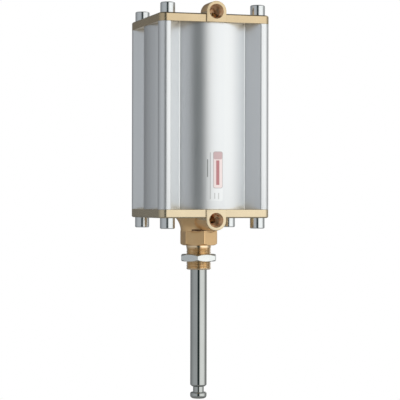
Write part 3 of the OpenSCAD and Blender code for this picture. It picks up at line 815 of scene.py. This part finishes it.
def label_foil():
    """Foil in the barrel's own silver: a framed red bar and ruled grey lines, with no words."""
    f = Finish("label_foil", (0.86, 0.88, 0.89), 0.33, 0.82)
    axis = f.node("ShaderNodeSeparateXYZ", {0: f.place}).outputs
    x, z = axis[0], axis[2]

    def bar(left, right, low, high, corner):
        """1 inside a round-cornered box, in millimetres across and up."""
        dx = f.calc("SUBTRACT", f.calc("ABSOLUTE", f.calc("SUBTRACT", x, (left + right) / 2 * MM)),
                    ((right - left) / 2 - corner) * MM)
        dz = f.calc("SUBTRACT", f.calc("ABSOLUTE", f.calc("SUBTRACT", z, (low + high) / 2 * MM)),
                    ((high - low) / 2 - corner) * MM)
        dx, dz = f.calc("MAXIMUM", dx, 0.0), f.calc("MAXIMUM", dz, 0.0)
        far = f.calc("SQRT", f.calc("ADD", f.calc("MULTIPLY", dx, dx), f.calc("MULTIPLY", dz, dz)))
        return f.span(far, 1.0, 0.0, (corner - 0.06) * MM, (corner + 0.06) * MM)

    colour = (0.86, 0.88, 0.89)
    for box, tone in (((-2.6, 7.0, 54.8, 89.4, 2.0), (0.50, 0.46, 0.46)),
                      ((-2.1, 6.5, 55.3, 88.9, 1.6), (0.88, 0.76, 0.75)),
                      ((-2.1, 6.5, 82.0, 88.9, 1.6), (0.62, 0.46, 0.47)),
                      ((0.4, 3.6, 58.0, 81.0, 0.3), (0.52, 0.24, 0.25)),
                      ((-5.7, -4.9, 44.5, 88.5, 0.2), (0.56, 0.57, 0.57)),
                      ((-8.3, -7.4, 65.5, 82.0, 0.2), (0.34, 0.35, 0.35)),
                      ((-1.5, -0.5, 45.0, 50.5, 0.2), (0.60, 0.61, 0.61)),
                      ((2.4, 3.4, 44.5, 50.5, 0.2), (0.60, 0.61, 0.61))):
        colour = f.mix(bar(*box), colour, tone)
    f.feed("Base Color", colour)
    f.feed("Roughness", f.span(f.noise((900, 900, 900)), 0.28, 0.36))
    return f.material


def mark_skin(piece):
    """Stores how each face was made: left as pressed, bored out, cut as a thread, or milled.

    The recess under the duct is marked both bored and threaded, so that it is painted near black as shadow.
    """
    marks = piece.data.attributes.new("skin", "FLOAT_COLOR", "FACE")
    port_back = 30.0  # from the axis
    for i, face in enumerate(piece.data.polygons):
        x, y, z = face.center
        port = upper_port_height if z > (barrel_bottom + barrel_top) / 2 else lower_port_height
        in_port = math.hypot(x, z - port) < port_radius + 0.2 and -y > port_back
        wall = in_port and -y < boss_front - 0.02 and abs(face.normal.y) < 0.95
        floor = in_port and -y < boss_front - 4
        on_neck = 0.05 < z < lower_plate - 0.2 and -y < boss_front - 0.5
        on_ridge = z > upper_plate + 0.2 and -y < boss_front - 0.5
        # The recess gets both the bore and the thread flag, so it is painted near black as shadow.
        recess = (abs(x) < recess_half_width + 0.1 and abs(face.normal.z) < 0.5
                  and -y > recess_wall - 0.1 and 0 < z - hexagon_height < recess_height)
        pressed, bored = on_neck or on_ridge, wall or floor or recess
        threaded = z < -0.05 or recess
        marks.data[i].color = (float(pressed), float(bored), float(threaded), 1)


# ---- Making and handing over the pieces ----

aluminium = drawn_aluminium()
brass = {"upper_cover": cover_brass("upper_cover_brass", (0.67, 0.53, 0.335)),
         "lower_cover": cover_brass("lower_cover_brass", (0.735, 0.62, 0.43))}
screw_zinc = zinc("screw_zinc", (0.75, 0.78, 0.79), 0.16)
nut_zinc = zinc("nut_zinc", (0.79, 0.82, 0.81), 0.26)
chrome = ground_chrome()

done(barrel(), aluminium, "profile_aluminium", "housing", "barrel")
for make, node in ((upper_cover, "upper_cover"), (lower_cover, "lower_cover")):
    cover = make()
    mark_skin(cover)
    done(cover, brass[node], "cover_brass", "housing", node)
tree, sizes = screw_tree()
upper_set = cover_screws("upper_cap_screws", tree, sizes, screw_zinc, upper_plate, 0.0,
                         upper_screws_high.z, 3)
done(upper_set, screw_zinc, "screw_steel", "housing", "upper_cover_screws")
lower_set = cover_screws("lower_cap_screws", tree, sizes, screw_zinc, lower_plate, math.pi,
                         lower_screws_low.z, 8)
done(lower_set, screw_zinc, "screw_steel", "housing", "lower_cover_screws")
done(lock_nut(), nut_zinc, "nut_steel", "lock_nut", "lock_nut")
done(piston_rod(), chrome, "rod_steel", "rod_and_piston", "piston_rod")
done(label(), label_foil(), "profile_aluminium", "housing")

rubber = moulded("nitrile_rubber", (0.035, 0.035, 0.037), 0.55, 0.00001)
buffer_rubber = moulded("buffer_rubber", (0.09, 0.09, 0.10), 0.5, 0.00001)
inner_finishes = {
    rubber: ("upper_cover_o_ring", "lower_cover_o_ring", "rod_wiper", "rod_seal",
             "piston_o_ring", "lower_piston_seal", "upper_piston_seal"),
    buffer_rubber: ("upper_bumper", "lower_bumper"),
    sintered("sintered_bronze", (0.60, 0.42, 0.24), 1.0, 0.38): ("rod_bush",),
    sintered("ferrite", (0.10, 0.10, 0.11), 0.3, 0.5): ("piston_magnet",),
    zinc("plain_steel", (0.62, 0.63, 0.64), 0.32): ("seal_washer", "seal_circlip",
                                                    "piston_washer", "piston_nut"),
    turned_aluminium(): ("lower_piston", "upper_piston"),
    moulded("acetal", (0.80, 0.78, 0.70), 0.4, 0.000006, 500): ("piston_guide_ring",),
}
for material, nodes in inner_finishes.items():
    for node in nodes:
        mesh = frame["nodes"][node].data
        mesh.materials.clear()
        mesh.materials.append(material)


# ---- Floor and studio light ----


def pale_floor():
    """Round floor far below the hanging cylinder, which fades out in white towards its rim."""
    disc = turned("floor", [(3000, -1220), (3000, -1200)], steps=96)
    disc.data.transform(Matrix.Scale(MM, 4))
    f = Finish("floor_white", (0.74, 0.74, 0.74), 0.9, 0.0)
    seen = f.node("ShaderNodeLightPath").outputs["Is Camera Ray"]
    f.shader.inputs["Emission Color"].default_value = (1, 1, 1, 1)
    f.feed("Emission Strength", f.calc("MULTIPLY", seen, 0.58))
    grain = f.noise((40, 40, 40), 2)
    f.feed("Roughness", f.span(grain, 0.85, 0.95))
    out = f.node("ShaderNodeVectorMath", {0: f.place}, operation="LENGTH").outputs["Value"]
    rim = f.calc("MULTIPLY", seen, f.span(out, 0.0, 1.0, 1.6, 2.9))
    white = f.node("ShaderNodeEmission", {"Color": (1, 1, 1, 1), "Strength": 1.0})
    blend = f.node("ShaderNodeMixShader", {0: rim, 1: f.shader.outputs[0], 2: white.outputs[0]})
    f.tree.links.new(blend.outputs[0], f.tree.nodes["Material Output"].inputs["Surface"])
    disc.data.materials.append(f.material)


def studio():
    """Soft light all round: a dark side behind the camera, bright on its right, half on its left."""
    world = bpy.data.worlds.new("studio")
    bpy.context.scene.world = world
    world.use_nodes = True
    tree = world.node_tree
    tree.nodes.clear()

    node, calc = partial(add_node, tree), partial(add_math, tree)

    way = node("ShaderNodeSeparateXYZ", {0: node("ShaderNodeTexCoord").outputs["Generated"]}).outputs
    bearing = calc("ARCTAN2", way[0], calc("MULTIPLY", way[1], -1.0))
    bearing = calc("WRAP", calc("SUBTRACT", bearing, view_turn), math.pi, -math.pi)
    share = calc("ADD", calc("DIVIDE", bearing, 2 * math.pi), 0.5)
    ramp = node("ShaderNodeValToRGB", {0: share})
    ramp.color_ramp.interpolation = "LINEAR"
    # Bearings in degrees, from the camera's side towards its right, and the brightness there
    stops = [(-180, 0.11), (-158, 0.135), (-138, 0.205), (-118, 0.28), (-100, 0.33), (-84, 0.39),
             (-62, 0.44), (-20, 0.44), (-12, 0.10), (-7, 0.01), (7, 0.01), (14, 0.36), (20, 0.85),
             (32, 1.0), (66, 1.0), (84, 0.9), (98, 0.45), (114, 0.26), (130, 0.22), (146, 0.55), (168, 0.55),
             (180, 0.11)]
    while len(ramp.color_ramp.elements) < len(stops):
        ramp.color_ramp.elements.new(0.5)
    for element, (angle, light) in zip(ramp.color_ramp.elements, stops):
        element.position = (angle + 180) / 360
        cool = 1.0 if angle < 12 else 0.0
        element.color = (light * (1 - 0.03 * cool), light + 0.012 * (abs(angle) < 8),
                         light * (0.985 + 0.045 * cool) + 0.012 * (abs(angle) < 8), 1)
    above = node("ShaderNodeMapRange", {"Value": way[2], "From Min": 0.66, "From Max": 0.93})
    under = node("ShaderNodeMapRange", {"Value": way[2], "From Min": -0.4, "From Max": -0.95})
    light = ramp.outputs[0]
    for share_of, tone in ((above, 0.08), (under, 0.20)):
        light = add_mix(tree, share_of.outputs[0], light, (tone, tone, tone))
    room = node("ShaderNodeBackground", {"Color": light, "Strength": 1.18})
    white = node("ShaderNodeBackground", {"Color": (1, 1, 1, 1)})
    path = node("ShaderNodeLightPath").outputs
    seen = calc("MAXIMUM", path["Is Camera Ray"], path["Is Transmission Ray"])
    both = node("ShaderNodeMixShader", {0: seen, 1: room.outputs[0], 2: white.outputs[0]})
    out = node("ShaderNodeOutputWorld")
    tree.links.new(both.outputs[0], out.inputs["Surface"])


pale_floor()
studio()
